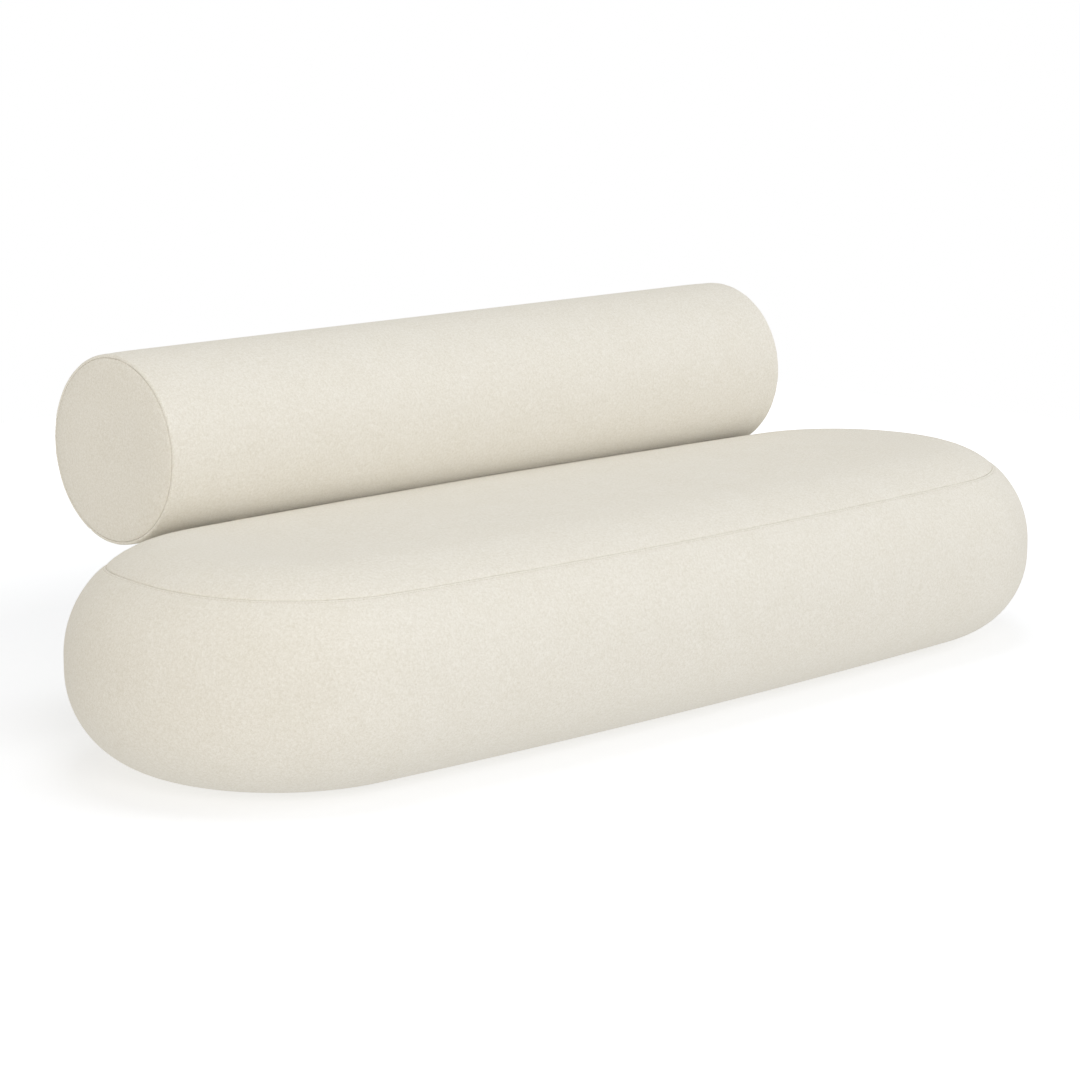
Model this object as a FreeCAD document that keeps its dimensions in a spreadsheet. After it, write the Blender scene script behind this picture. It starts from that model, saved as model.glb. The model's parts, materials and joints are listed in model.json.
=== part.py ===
# An upholstered sofa: an oval bullnose seat with a straight cylindrical bolster for its back.
# Millimetres, +Z up, front towards -Y. The origin is on the floor, in the middle of the whole sofa's box.
import FreeCAD, Part
import math
import os
import Sketcher

# Driving dimensions: name, number and what it measures.
SIZES = (
    ("length", 2300, "seat body, left to right"),
    ("depth", 816, "seat body, front to back"),
    ("body_height", 390, "seat body from its underside to its top"),
    ("bow", 24.5, "how far the ends' plan radius falls short of half the depth"),
    ("top_rounding", 192, "radius of the upper bullnose"),
    ("side_band", 25, "upright stretch between the upper and the lower bullnose"),
    ("seam_drop", 38, "cover seam below the top"),
    ("cover", 2, "fabric with its backing"),
    ("ease", 0.3, "room round foam and between bolster and seat"),
    ("tuck", 30, "fabric turned in under the base"),
    ("base_margin", 6, "base board inside the flat of the underside"),
    ("frame_inset", 60, "frame behind the outside, filled by the edge foam"),
    ("ply", 18, "plywood of base, ribs and deck"),
    ("cushion_depth", 150, "deck below the top of the seat"),
    ("topper", 45, "softer upper layer of the seat, with its cover"),
    ("deck_width", 90, "ring that carries the webbing"),
    ("scoop_width", 400, "hollow in the top of each rib, under the webbing"),
    ("scoop_depth", 70, "depth of that hollow"),
    ("access_length", 320, "opening in the base board, front to back"),
    ("access_width", 160, "opening in the base board, left to right"),
    ("rail_thickness", 22, "front and back rail"),
    ("rail_height", 90, "front and back rail"),
    ("rail_overhang", 20, "rail past the outermost rib"),
    ("hub", 80, "radial ribs start this far from the centre of the end"),
    ("strap", 2, "thickness of the webbing"),
    ("strap_width", 60, "width of the webbing"),
    ("strap_lap", 30, "webbing stapled on the deck"),
    ("strap_pitch", 250, "between cross straps"),
    ("strap_row", 100, "long straps from the middle line"),
    ("glide_height", 8, "floor to the underside of the body"),
    ("glide_diameter", 50, "plastic glide"),
    ("glide_bevel", 2, "bevel under each glide"),
    ("glide_margin", 45, "glide centre inside the edge of the base board"),
    ("bolster_diameter", 348, "over the cover"),
    ("bolster_length", 1648, "over the end covers"),
    ("bolster_inset", 8, "bolster axis in front of the seat's rear edge"),
    ("rim", 7, "rounding of the bolster's rim"),
    ("core_diameter", 256, "tube inside the bolster"),
    ("core_wall", 8, "wall of that tube"),
    ("end_pad", 20, "foam under each end cover"),
    ("bulkhead_bore", 70, "hole through each bulkhead"),
    ("post", 30, "square steel tube that carries the bolster"),
    ("post_wall", 3, "wall of the post"),
    ("post_corner", 4, "outer corner of the post"),
    ("post_setback", 92, "post in front of the bolster's axis"),
    ("post_rise", 45, "post above the bolster's axis"),
    ("slot_room", 1, "room round a post where it goes through"),
    ("bolt", 8, "bolt through rail, post and bulkhead"),
    ("bolt_head", 20, "diameter of the flat round head"),
    ("head_height", 4.5, "height of that head"),
    ("nut_width", 13, "across the flats"),
    ("nut_height", 6.5, "thickness of the nut"),
    ("bolt_pitch", 40, "between the two bolts of a pair"),
    ("rail_bolt_rise", 8, "middle of a rail pair above the middle of the rail"),
    ("screw", 5, "wood screw"),
    ("screw_length", 45, "screw through a board into a rib"),
    ("glide_screw_length", 22, "screw through a glide into the base board"),
    ("screw_head", 10, "countersunk head"),
    ("screw_margin", 90, "base screws inside the edge of the base board"),
)

# Places and sizes that follow from the driving dimensions.
PLACES = (
    ("end_radius", "=sizes.depth / 2 - sizes.bow", "plan radius of each end"),
    ("reach", "=sizes.length / 2 - end_radius", "centre of an end from the middle"),
    ("side_radius", "=(reach^2 + (sizes.depth / 2)^2 - end_radius^2) / (2 * sizes.bow)", "long side"),
    ("lower_rounding", "=sizes.body_height - sizes.top_rounding - sizes.side_band", "lower bullnose"),
    ("base_inset", "=lower_rounding + sizes.base_margin", "base board behind the outside"),
    ("underside", "=sizes.glide_height", "level of the body's underside"),
    ("top", "=underside + sizes.body_height", "level of the seat"),
    ("seam", "=top - sizes.seam_drop", "level of the cover seam"),
    ("base", "=underside + sizes.cover", "level under the base board"),
    ("base_top", "=base + sizes.ply", "level on the base board"),
    ("deck_top", "=top - sizes.cushion_depth", "level on the deck"),
    ("deck", "=deck_top - sizes.ply", "level under the deck"),
    ("foam_bottom", "=deck_top + 2 * sizes.strap", "level on the webbing"),
    ("foam_inset", "=sizes.cover + sizes.ease", "foam behind the outside"),
    ("bay", "=reach * 2 / 5", "between cross ribs"),
    ("radius", "=sizes.bolster_diameter / 2", "bolster"),
    ("axis_back", "=sizes.depth / 2 - sizes.bolster_inset", "bolster axis behind the middle"),
    ("shoulder_back", "=sizes.depth / 2 - sizes.top_rounding", "centre of the rear upper bullnose"),
    ("lean", "=axis_back - shoulder_back", "bolster axis behind that centre"),
    ("contact", "=sizes.top_rounding + radius + sizes.ease", "between those two centres"),
    ("axis_level", "=top - sizes.top_rounding + sqrt(contact^2 - lean^2)", "bolster axis"),
    ("core_radius", "=sizes.core_diameter / 2", "tube inside the bolster"),
    ("core_bore", "=core_radius - sizes.core_wall", "inside of that tube"),
    ("core_half", "=sizes.bolster_length / 2 - sizes.cover - sizes.end_pad - sizes.ease", "tube"),
    ("post_back", "=axis_back - sizes.post_setback", "centre of the posts"),
    ("rail_face", "=post_back - sizes.post / 2", "rear face of the back rail"),
    ("rail", "=deck - sizes.rail_height", "level under the rails"),
    ("post_top", "=axis_level + sizes.post_rise", "upper end of the posts"),
    ("post_x", "=2 * bay", "outer posts from the middle"),
    ("centre", "=(axis_back + radius - sizes.depth / 2) / 2", "middle of the sofa behind that of the seat"),
)

RIB_BAYS = (-2.5, -1.5, -0.5, 0.5, 1.5, 2.5)
CROSS_STRAPS = (-2.5, -1.5, -0.5, 0.5, 1.5, 2.5)
POST_SIDES = (("left", -1), ("middle", 0), ("right", 1))
ENDS = (("left", -1), ("right", 1))
SPOKES = (("front", -45), ("centre", 0), ("back", 45))
FLAT = 0.01
# Which way across a sketch on each plane the sofa's depth runs.
DEPTH_WAY = {"XY_Plane": "y", "YZ_Plane": "x"}

doc = FreeCAD.newDocument("curved_sofa")
nodes = []


def make_sheet(name, rows):
    sheet = doc.addObject("Spreadsheet::Sheet", name)
    for row, (alias, content, note) in enumerate(rows, start=1):
        sheet.set("A%d" % row, note)
        sheet.set("B%d" % row, str(content))
        sheet.setAlias("B%d" % row, alias)
    return sheet


make_sheet("sizes", SIZES)
places = make_sheet("places", PLACES)
doc.recompute()


def value(expression):
    return float(places.evalExpression(expression))


def node(label, thing):
    thing.Label = label
    nodes.append(thing)
    return thing


# Sketches


def new_sketch(body, plane, level="0"):
    """A sketch on one of the body's own planes, its zero on the middle line of the seat."""
    sketch = body.newObject("Sketcher::SketchObject", "sketch")
    support = [f for f in body.Origin.OriginFeatures if f.Role == plane][0]
    sketch.AttachmentSupport = (support, [""])
    sketch.MapMode = "FlatFace"
    sketch.setExpression("AttachmentOffset.Base.z", level)
    sketch.setExpression("AttachmentOffset.Base.%s" % DEPTH_WAY[plane], "-places.centre")
    return sketch


def dimension(sketch, expression, kind, *where):
    """A constraint whose number follows the expression."""
    index = sketch.addConstraint(Sketcher.Constraint(kind, *where, value(expression)))
    sketch.setExpression("Constraints[%d]" % index, expression)


def draw_oval(sketch, inset):
    """The plan of the seat, four tangent arcs, drawn in by an inset."""
    reach = value("places.reach")
    drop = value("places.side_radius - sizes.depth / 2")
    end_radius = value("places.end_radius - (%s)" % inset)
    side_radius = value("places.side_radius - (%s)" % inset)
    turn = math.atan2(drop, reach)
    arcs = (
        (reach, 0, end_radius, -turn, turn),
        (0, -drop, side_radius, turn, math.pi - turn),
        (-reach, 0, end_radius, math.pi - turn, math.pi + turn),
        (0, drop, side_radius, math.pi + turn, 2 * math.pi - turn),
    )
    up = FreeCAD.Vector(0, 0, 1)
    made = []
    for x, y, radius, start, stop in arcs:
        circle = Part.Circle(FreeCAD.Vector(x, y, 0), up, radius)
        made.append(sketch.addGeometry(Part.ArcOfCircle(circle, start, stop)))
    right, rear, left, front = made
    for first, second in ((right, rear), (rear, left), (left, front), (front, right)):
        sketch.addConstraint(Sketcher.Constraint("Tangent", first, 2, second, 1))
    for end in (right, left):
        sketch.addConstraint(Sketcher.Constraint("PointOnObject", end, 3, -1))
        dimension(sketch, "places.end_radius - (%s)" % inset, "Radius", end)
    for side in (rear, front):
        dimension(sketch, "places.side_radius - (%s)" % inset, "Radius", side)
    dimension(sketch, "places.reach", "DistanceX", -1, 1, right, 3)
    dimension(sketch, "places.reach", "DistanceX", left, 3, -1, 1)


def draw_circle(sketch, x, y, radius):
    """A circle with its centre right of and above the sketch's origin."""
    centre = FreeCAD.Vector(value(x), value(y), 0)
    circle = Part.Circle(centre, FreeCAD.Vector(0, 0, 1), value(radius))
    made = sketch.addGeometry(circle)
    dimension(sketch, radius, "Radius", made)
    dimension(sketch, x, "DistanceX", -1, 1, made, 3)
    dimension(sketch, y, "DistanceY", -1, 1, made, 3)


def draw_square(sketch, x, y, width):
    """A square about a point above the sketch's origin, x to either side."""
    half = value(width) / 2
    left = value(x) - half
    right = value(x) + half
    low = value(y) - half
    high = value(y) + half
    corners = [FreeCAD.Vector(a, b, 0) for a, b in ((left, low), (right, low), (right, high), (left, high))]
    lines = []
    for start, stop in zip(corners, corners[1:] + corners[:1]):
        lines.append(sketch.addGeometry(Part.LineSegment(start, stop)))
    for first, second in zip(lines, lines[1:] + lines[:1]):
        sketch.addConstraint(Sketcher.Constraint("Coincident", first, 2, second, 1))
    for level in (lines[0], lines[2]):
        sketch.addConstraint(Sketcher.Constraint("Horizontal", level))
    for upright in (lines[1], lines[3]):
        sketch.addConstraint(Sketcher.Constraint("Vertical", upright))
    dimension(sketch, width, "DistanceX", lines[0], 1, lines[0], 2)
    dimension(sketch, width, "DistanceY", lines[1], 1, lines[1], 2)
    dimension(sketch, "%s - (%s) / 2" % (y, width), "DistanceY", -1, 1, lines[0], 1)
    dimension(sketch, "%s - (%s) / 2" % (x, width), "DistanceX", -1, 1, lines[0], 1)


def draw_slot(sketch, x, length, width):
    """A round-ended opening that lies front to back about the point x on the middle line."""
    middle = value(x)
    radius = value(width) / 2
    half = value(length) / 2 - radius
    up = FreeCAD.Vector(0, 0, 1)
    rear_circle = Part.Circle(FreeCAD.Vector(middle, half, 0), up, radius)
    front_circle = Part.Circle(FreeCAD.Vector(middle, -half, 0), up, radius)
    rear = sketch.addGeometry(Part.ArcOfCircle(rear_circle, 0, math.pi))
    front = sketch.addGeometry(Part.ArcOfCircle(front_circle, math.pi, 2 * math.pi))
    left = Part.LineSegment(FreeCAD.Vector(middle - radius, half, 0), FreeCAD.Vector(middle - radius, -half, 0))
    right = Part.LineSegment(FreeCAD.Vector(middle + radius, -half, 0), FreeCAD.Vector(middle + radius, half, 0))
    left = sketch.addGeometry(left)
    right = sketch.addGeometry(right)
    for first, second in ((rear, left), (left, front), (front, right), (right, rear)):
        sketch.addConstraint(Sketcher.Constraint("Tangent", first, 2, second, 1))
    sketch.addConstraint(Sketcher.Constraint("Vertical", left))
    dimension(sketch, "%s / 2" % width, "Radius", rear)
    dimension(sketch, "(%s - %s) / 2" % (length, width), "DistanceY", -1, 1, rear, 3)
    dimension(sketch, "(%s - %s) / 2" % (length, width), "DistanceY", front, 3, -1, 1)
    dimension(sketch, x, "DistanceX", -1, 1, rear, 3)


# Bodies


def new_body(name):
    return doc.addObject("PartDesign::Body", name)


def pad(body, sketch, length):
    feature = body.newObject("PartDesign::Pad", "pad")
    feature.Profile = sketch
    feature.setExpression("Length", length)
    doc.recompute()
    return feature


def edges_at(shape, level):
    """The names of the edges that lie flat at a level."""
    names = []
    for number, edge in enumerate(shape.Edges, start=1):
        span = edge.BoundBox
        if span.ZLength < FLAT and abs(span.ZMin - level) < FLAT:
            names.append("Edge%d" % number)
    return names


def round_edges(body, base, names, radius):
    feature = body.newObject("PartDesign::Fillet", "fillet")
    feature.Base = (base, names)
    feature.setExpression("Radius", radius)
    doc.recompute()
    return feature


def oval_plate(body, inset, level, thickness):
    sketch = new_sketch(body, "XY_Plane", level)
    draw_oval(sketch, inset)
    return pad(body, sketch, thickness)


def pierce(body, draw, level, depth):
    """A pocket upwards from a level; the solid has to lose volume."""
    before = body.Shape.Volume
    sketch = new_sketch(body, "XY_Plane", level)
    draw(sketch)
    feature = body.newObject("PartDesign::Pocket", "pocket")
    feature.Profile = sketch
    feature.Reversed = True
    feature.setExpression("Length", depth)
    doc.recompute()
    if feature.Shape.Volume >= before:
        raise RuntimeError("pocket in %s cuts nothing" % body.Name)
    return feature


def seat_form(name, inset):
    """The whole bullnose body of the seat, drawn in on every side by an inset."""
    body = new_body(name)
    bottom = "places.underside + (%s)" % inset
    solid = oval_plate(body, inset, bottom, "sizes.body_height - 2 * (%s)" % inset)
    upper = edges_at(solid.Shape, value("places.top - (%s)" % inset))
    solid = round_edges(body, solid, upper, "sizes.top_rounding - (%s)" % inset)
    lower = edges_at(solid.Shape, value(bottom))
    round_edges(body, solid, lower, "places.lower_rounding - (%s)" % inset)
    return body


def frame_form(name, ease, floor, roof):
    """The space of the frame: a foot on the base board, the lower bullnose, then upright sides."""
    body = new_body(name)
    inset = "sizes.frame_inset - (%s)" % ease
    shelf = "places.underside + %s" % inset
    solid = oval_plate(body, inset, shelf, "%s - (%s)" % (roof, shelf))
    lower = edges_at(solid.Shape, value(shelf))
    round_edges(body, solid, lower, "places.lower_rounding - (%s)" % inset)
    foot = "places.base_inset - (%s)" % ease
    oval_plate(body, foot, floor, "%s - (%s)" % (shelf, floor))
    return body


# Primitives and booleans


def bind(thing, expressions):
    for name, expression in expressions.items():
        thing.setExpression(name, expression)


def stand_at(thing, x, y, z):
    """Puts a primitive at a place that is given from the middle line of the seat."""
    back = "%s - places.centre" % y
    bind(thing, {"Placement.Base.x": x, "Placement.Base.y": back, "Placement.Base.z": z})


def block(x, y, z, length, width, height):
    """A box from its lowest corner."""
    thing = doc.addObject("Part::Box", "block")
    bind(thing, {"Length": length, "Width": width, "Height": height})
    stand_at(thing, x, y, z)
    return thing


def rod(x, y, z, axis, radius, length):
    """A round bar from the middle of its first end, along an axis."""
    thing = doc.addObject("Part::Cylinder", "rod")
    bind(thing, {"Radius": radius, "Height": length})
    thing.Placement = FreeCAD.Placement(FreeCAD.Vector(), FreeCAD.Rotation(FreeCAD.Vector(0, 0, 1), axis))
    stand_at(thing, x, y, z)
    return thing


ALONG_X = FreeCAD.Vector(1, 0, 0)
ALONG_Y = FreeCAD.Vector(0, 1, 0)
UP = FreeCAD.Vector(0, 0, 1)
DOWN = FreeCAD.Vector(0, 0, -1)


def fuse(*things):
    whole = doc.addObject("Part::MultiFuse", "fuse")
    whole.Shapes = list(things)
    return whole


def cut(base, *tools):
    result = doc.addObject("Part::Cut", "cut")
    result.Base = base
    result.Tool = tools[0] if len(tools) == 1 else fuse(*tools)
    return result


def common(base, tool):
    result = doc.addObject("Part::Common", "common")
    result.Base = base
    result.Tool = tool
    return result


def group(things):
    whole = doc.addObject("Part::Compound", "group")
    whole.Links = list(things)
    return whole


def wood_screw(x, y, z, axis, length):
    """A countersunk screw, from the top of its head along an axis."""
    shank = rod(x, y, z, axis, "sizes.screw / 2", length)
    head = doc.addObject("Part::Cone", "head")
    rise = "(sizes.screw_head - sizes.screw) / 2"
    bind(head, {"Radius1": "sizes.screw_head / 2", "Radius2": "sizes.screw / 2", "Height": rise})
    head.Placement = FreeCAD.Placement(FreeCAD.Vector(), FreeCAD.Rotation(UP, axis))
    stand_at(head, x, y, z)
    return fuse(shank, head)


def layer(x, y, z, length, width, height):
    """A block given by its middle in plan and its lowest level."""
    left = "(%s) - (%s) / 2" % (x, length)
    front = "(%s) - (%s) / 2" % (y, width)
    return block(left, front, z, length, width, height)


def across(low, height):
    """A slab that is wider than the sofa, for cutting at a level."""
    return layer("0", "0", low, "2 * sizes.length", "2 * sizes.length", height)


def post_slots(low, height):
    """The room that the three posts need between two levels."""
    width = "sizes.post + 2 * sizes.slot_room"
    slots = []
    for _, side in POST_SIDES:
        slots.append(layer("%d * places.post_x" % side, "places.post_back", low, width, width, height))
    return slots


# Forms that several pieces are cut from

outer_form = seat_form("outer_form", "0")
lining_form = seat_form("lining_form", "sizes.cover")
foam_form = seat_form("foam_form", "places.foam_inset")
rib_form = frame_form("rib_form", "0", "places.base_top", "places.deck")
foam_void = frame_form("foam_void", "sizes.ease", "places.underside", "places.top")


# Screws and bolts come first, because the holes are cut with them

RIB_X = ["%s * places.bay" % bay for bay in RIB_BAYS]
SPOKE_PLACES = []
for end, side in ENDS:
    for name, degrees in SPOKES:
        angle = math.radians(degrees)
        SPOKE_PLACES.append((end, name, side * math.cos(angle), math.sin(angle), side))


def on_spoke(spoke, distance):
    """The point on a radial rib at a distance from the centre of its end."""
    x = "%d * places.reach + %.6f * (%s)" % (spoke[4], spoke[2], distance)
    y = "%.6f * (%s)" % (spoke[3], distance)
    return x, y


base_row = "sizes.depth / 2 - places.base_inset - sizes.screw_margin"
deck_row = "places.rail_face + sizes.rail_thickness / 2"
base_ring = "places.end_radius - places.base_inset - sizes.screw_margin"
deck_ring_middle = "places.end_radius - sizes.frame_inset - sizes.deck_width / 2"
base_points = []
deck_points = []
for x in RIB_X:
    for side in ("-1", "1"):
        base_points.append((x, "%s * (%s)" % (side, base_row)))
        deck_points.append((x, "%s * (%s)" % (side, deck_row)))
for spoke in SPOKE_PLACES:
    base_points.append(on_spoke(spoke, base_ring))
    deck_points.append(on_spoke(spoke, deck_ring_middle))

base_screws = group([wood_screw(x, y, "places.base", UP, "sizes.screw_length") for x, y in base_points])
node("base_screws", base_screws)
deck_screws = group([wood_screw(x, y, "places.deck_top", DOWN, "sizes.screw_length") for x, y in deck_points])
node("deck_screws", deck_screws)

glide_row = "(sizes.depth / 2 - places.base_inset - sizes.glide_margin)"
GLIDES = []
for name, side in (("left", -1), ("middle", 0), ("right", 1)):
    for face, sign in (("front", -1), ("back", 1)):
        GLIDES.append(("glide_%s_%s" % (face, name), "%d * places.reach" % side, "%d * %s" % (sign, glide_row)))
glide_screws = []
for _, x, y in GLIDES:
    glide_screws.append(wood_screw(x, y, "sizes.glide_bevel", UP, "sizes.glide_screw_length"))
glide_screws = node("glide_screws", group(glide_screws))


def bolt_pair(x, y, z, axis, grip):
    """Two bolts one above the other, each with a flat round head behind its first face."""
    bolts = []
    nuts = []
    for step in ("-0.5", "0.5"):
        level = "%s + %s * sizes.bolt_pitch" % (z, step)
        shank = rod(x, y, level, axis, "sizes.bolt / 2", "%s + sizes.nut_height" % grip)
        back = FreeCAD.Vector(axis).negative()
        head = rod(x, y, level, back, "sizes.bolt_head / 2", "sizes.head_height")
        bolts.append(fuse(shank, head))
        nut = doc.addObject("Part::Prism", "nut")
        nut.Polygon = 6
        bind(nut, {"Circumradius": "sizes.nut_width / sqrt(3)", "Height": "sizes.nut_height"})
        nut.Placement = FreeCAD.Placement(FreeCAD.Vector(), FreeCAD.Rotation(UP, axis))
        far_x = "%s + %d * (%s)" % (x, axis.x, grip)
        far_y = "%s + %d * (%s)" % (y, axis.y, grip)
        stand_at(nut, far_x, far_y, level)
        nuts.append(nut)
    return bolts, nuts


rail_bolts = []
rail_nuts = []
core_bolts = []
core_nuts = []
LEFTWARDS = FreeCAD.Vector(-1, 0, 0)
for _, side in POST_SIDES:
    middle = "%d * places.post_x" % side
    start = "places.rail_face - sizes.rail_thickness"
    bolts, nuts = bolt_pair(middle, start, "places.rail + sizes.rail_height / 2 + sizes.rail_bolt_rise", ALONG_Y,
                            "sizes.rail_thickness + sizes.post")
    rail_bolts += bolts
    rail_nuts += nuts
    start = "%s + sizes.post / 2 + sizes.ply" % middle
    bolts, nuts = bolt_pair(start, "places.post_back", "places.axis_level", LEFTWARDS,
                            "sizes.ply + sizes.post")
    core_bolts += bolts
    core_nuts += nuts
rail_bolts = node("rail_bolts", group(rail_bolts))
core_bolts = node("core_bolts", group(core_bolts))
node("rail_nuts", cut(group(rail_nuts), rail_bolts))
node("core_nuts", cut(group(core_nuts), core_bolts))


# Seat frame

base_body = new_body("base_body")
oval_plate(base_body, "places.base_inset", "places.base", "sizes.ply")
opening = pierce(base_body, lambda s: draw_slot(s, "-2 * places.bay", "sizes.access_length", "sizes.access_width"),
                 "places.base", "sizes.ply")
openings = base_body.newObject("PartDesign::LinearPattern", "openings")
openings.Originals = [opening]
openings.Direction = ([f for f in base_body.Origin.OriginFeatures if f.Role == "X_Axis"][0], [""])
openings.setExpression("Length", "4 * places.bay")
openings.Occurrences = len(RIB_BAYS) - 1
base_body.Tip = openings
doc.recompute()
node("base_board", cut(base_body, base_screws, glide_screws))

rail_length = "2 * places.reach + 2 * sizes.rail_overhang"
back_rail = block("-(%s) / 2" % rail_length, "places.rail_face - sizes.rail_thickness", "places.rail",
                  rail_length, "sizes.rail_thickness", "sizes.rail_height")
front_rail = block("-(%s) / 2" % rail_length, "-places.rail_face", "places.rail",
                   rail_length, "sizes.rail_thickness", "sizes.rail_height")

scoop_radius = "((sizes.scoop_width / 2)^2 + sizes.scoop_depth^2) / (2 * sizes.scoop_depth)"
scoop = rod("-sizes.length / 2", "0", "places.deck - sizes.scoop_depth + %s" % scoop_radius, ALONG_X,
            scoop_radius, "sizes.length")
for number, x in enumerate(RIB_X, start=1):
    slice_of_form = common(rib_form, layer(x, "0", "0", "sizes.ply", "sizes.length", "places.top"))
    node("cross_rib_%d" % number, cut(slice_of_form, front_rail, back_rail, scoop, base_screws, deck_screws))

for spoke in SPOKE_PLACES:
    end, name, across_x, across_y, side = spoke
    blade = doc.addObject("Part::Box", "blade")
    bind(blade, {"Length": "places.end_radius", "Width": "sizes.ply", "Height": "places.top"})
    turn = math.degrees(math.atan2(across_y, across_x))
    blade.Placement = FreeCAD.Placement(FreeCAD.Vector(), FreeCAD.Rotation(UP, turn))
    x, y = on_spoke(spoke, "sizes.hub")
    stand_at(blade, "%s + %.6f * sizes.ply / 2" % (x, across_y), "%s - %.6f * sizes.ply / 2" % (y, across_x), "0")
    node("end_rib_%s_%s" % (end, name), cut(common(rib_form, blade), front_rail, back_rail, base_screws, deck_screws))

node("front_rail", front_rail)
node("back_rail", cut(back_rail, rail_bolts))

deck_body = new_body("deck_body")
oval_plate(deck_body, "sizes.frame_inset", "places.deck", "sizes.ply")
pierce(deck_body, lambda s: draw_oval(s, "sizes.frame_inset + sizes.deck_width"), "places.deck", "sizes.ply")
node("deck_ring", cut(deck_body, deck_screws, *post_slots("places.deck", "sizes.ply")))

strap_half = "sizes.depth / 2 - sizes.frame_inset - sizes.deck_width + sizes.strap_lap"
for number, step in enumerate(CROSS_STRAPS, start=1):
    strap = layer("%s * sizes.strap_pitch" % step, "0", "places.deck_top", "sizes.strap_width",
                  "2 * (%s)" % strap_half, "sizes.strap")
    node("cross_strap_%d" % number, strap)
hole_radius = "(places.end_radius - sizes.frame_inset - sizes.deck_width)"
long_half = "places.reach + sqrt(%s^2 - sizes.strap_row^2) + sizes.strap_lap" % hole_radius
for face, side in (("front", -1), ("back", 1)):
    strap = layer("0", "%d * sizes.strap_row" % side, "places.deck_top + sizes.strap",
                  "2 * (%s)" % long_half, "sizes.strap_width", "sizes.strap")
    node("long_strap_%s" % face, strap)

for name, x, y in GLIDES:
    body = new_body("puck")
    sketch = new_sketch(body, "XY_Plane")
    draw_circle(sketch, x, y, "sizes.glide_diameter / 2")
    puck = pad(body, sketch, "sizes.glide_height")
    bevel = body.newObject("PartDesign::Chamfer", "bevel")
    bevel.Base = (puck, edges_at(puck.Shape, 0))
    bevel.setExpression("Size", "sizes.glide_bevel")
    pierce(body, lambda s: draw_circle(s, x, y, "sizes.screw_head / 2"), "0", "sizes.glide_bevel")
    node(name, cut(body, glide_screws))


# Seat upholstery

shell = cut(outer_form, lining_form)
node("seat_top_cover", cut(common(shell, across("places.seam", "sizes.body_height")),
                           *post_slots("places.deck", "places.post_top")))
hem = new_body("hem")
oval_plate(hem, "places.lower_rounding + sizes.tuck", "0", "places.base + sizes.cover")
node("seat_side_cover", cut(common(shell, across("0", "places.seam")), hem, glide_screws,
                            *post_slots("places.deck", "places.post_top")))

cloth = new_body("cloth")
oval_plate(cloth, "places.lower_rounding + sizes.tuck + sizes.ease", "places.underside", "sizes.cover")
node("bottom_cloth", cut(cloth, glide_screws))

lower_foam = common(foam_form, across("0", "places.foam_bottom"))
node("edge_foam", cut(lower_foam, foam_void))
split = "places.top - sizes.topper"
slab = common(foam_form, across("places.foam_bottom", "%s - places.foam_bottom" % split))
node("seat_foam", cut(slab, *post_slots("places.deck", "places.post_top")))
softer = common(foam_form, across(split, "sizes.body_height"))
node("seat_topper", cut(softer, *post_slots("places.deck", "places.post_top")))


# Bolster and what carries it


def drum(name, radius, half, rim):
    """A cylinder along the bolster's axis with rounded rims."""
    body = new_body(name)
    sketch = new_sketch(body, "YZ_Plane", "-(%s)" % half)
    draw_circle(sketch, "places.axis_back", "places.axis_level", radius)
    solid = pad(body, sketch, "2 * (%s)" % half)
    rims = []
    for number, edge in enumerate(solid.Shape.Edges, start=1):
        if edge.BoundBox.XLength < FLAT:
            rims.append("Edge%d" % number)
    round_edges(body, solid, rims, rim)
    return body


def bar(start, radius, length):
    """A plain round bar on the bolster's axis."""
    return rod(start, "places.axis_back", "places.axis_level", ALONG_X, radius, length)


half_bolster = "sizes.bolster_length / 2"
whole_bolster = drum("bolster_form", "places.radius", half_bolster, "sizes.rim")
bolster_lining = drum("bolster_lining", "places.radius - sizes.cover", "%s - sizes.cover" % half_bolster,
                      "sizes.rim - sizes.cover")
foam_radius = "places.radius - places.foam_inset"
end_radius = "places.radius - sizes.rim"
end_covers = []
for end, start in (("left", "-%s" % half_bolster), ("right", "%s - sizes.cover" % half_bolster)):
    end_covers.append(node("bolster_end_cover_%s" % end, bar(start, end_radius, "sizes.cover")))
below = post_slots("places.seam", "places.axis_level - places.seam")
node("bolster_sleeve", cut(whole_bolster, bolster_lining, *end_covers, *below))

core_length = "2 * places.core_half"
around = bar("-places.core_half", foam_radius, core_length)
inside = bar("-places.core_half", "places.core_radius + sizes.ease", core_length)
node("bolster_foam", cut(around, inside, *below))
for end, start in (("left", "-%s + places.foam_inset" % half_bolster), ("right", "places.core_half")):
    node("bolster_end_pad_%s" % end, bar(start, "places.radius - sizes.rim - sizes.ease", "sizes.end_pad"))
tube = bar("-places.core_half", "places.core_radius", core_length)
tube_bore = bar("-places.core_half", "places.core_bore", core_length)
node("core_tube", cut(tube, tube_bore, *below))
for end, start in (("left", "-places.core_half"), ("right", "places.core_half - sizes.ply")):
    node("core_end_disc_%s" % end, bar(start, "places.core_bore", "sizes.ply"))
for name, side in POST_SIDES:
    start = "%d * places.post_x + sizes.post / 2" % side
    disc = bar(start, "places.core_bore", "sizes.ply")
    bore = bar(start, "sizes.bulkhead_bore / 2", "sizes.ply")
    node("core_bulkhead_%s" % name, cut(disc, bore, core_bolts))

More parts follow.
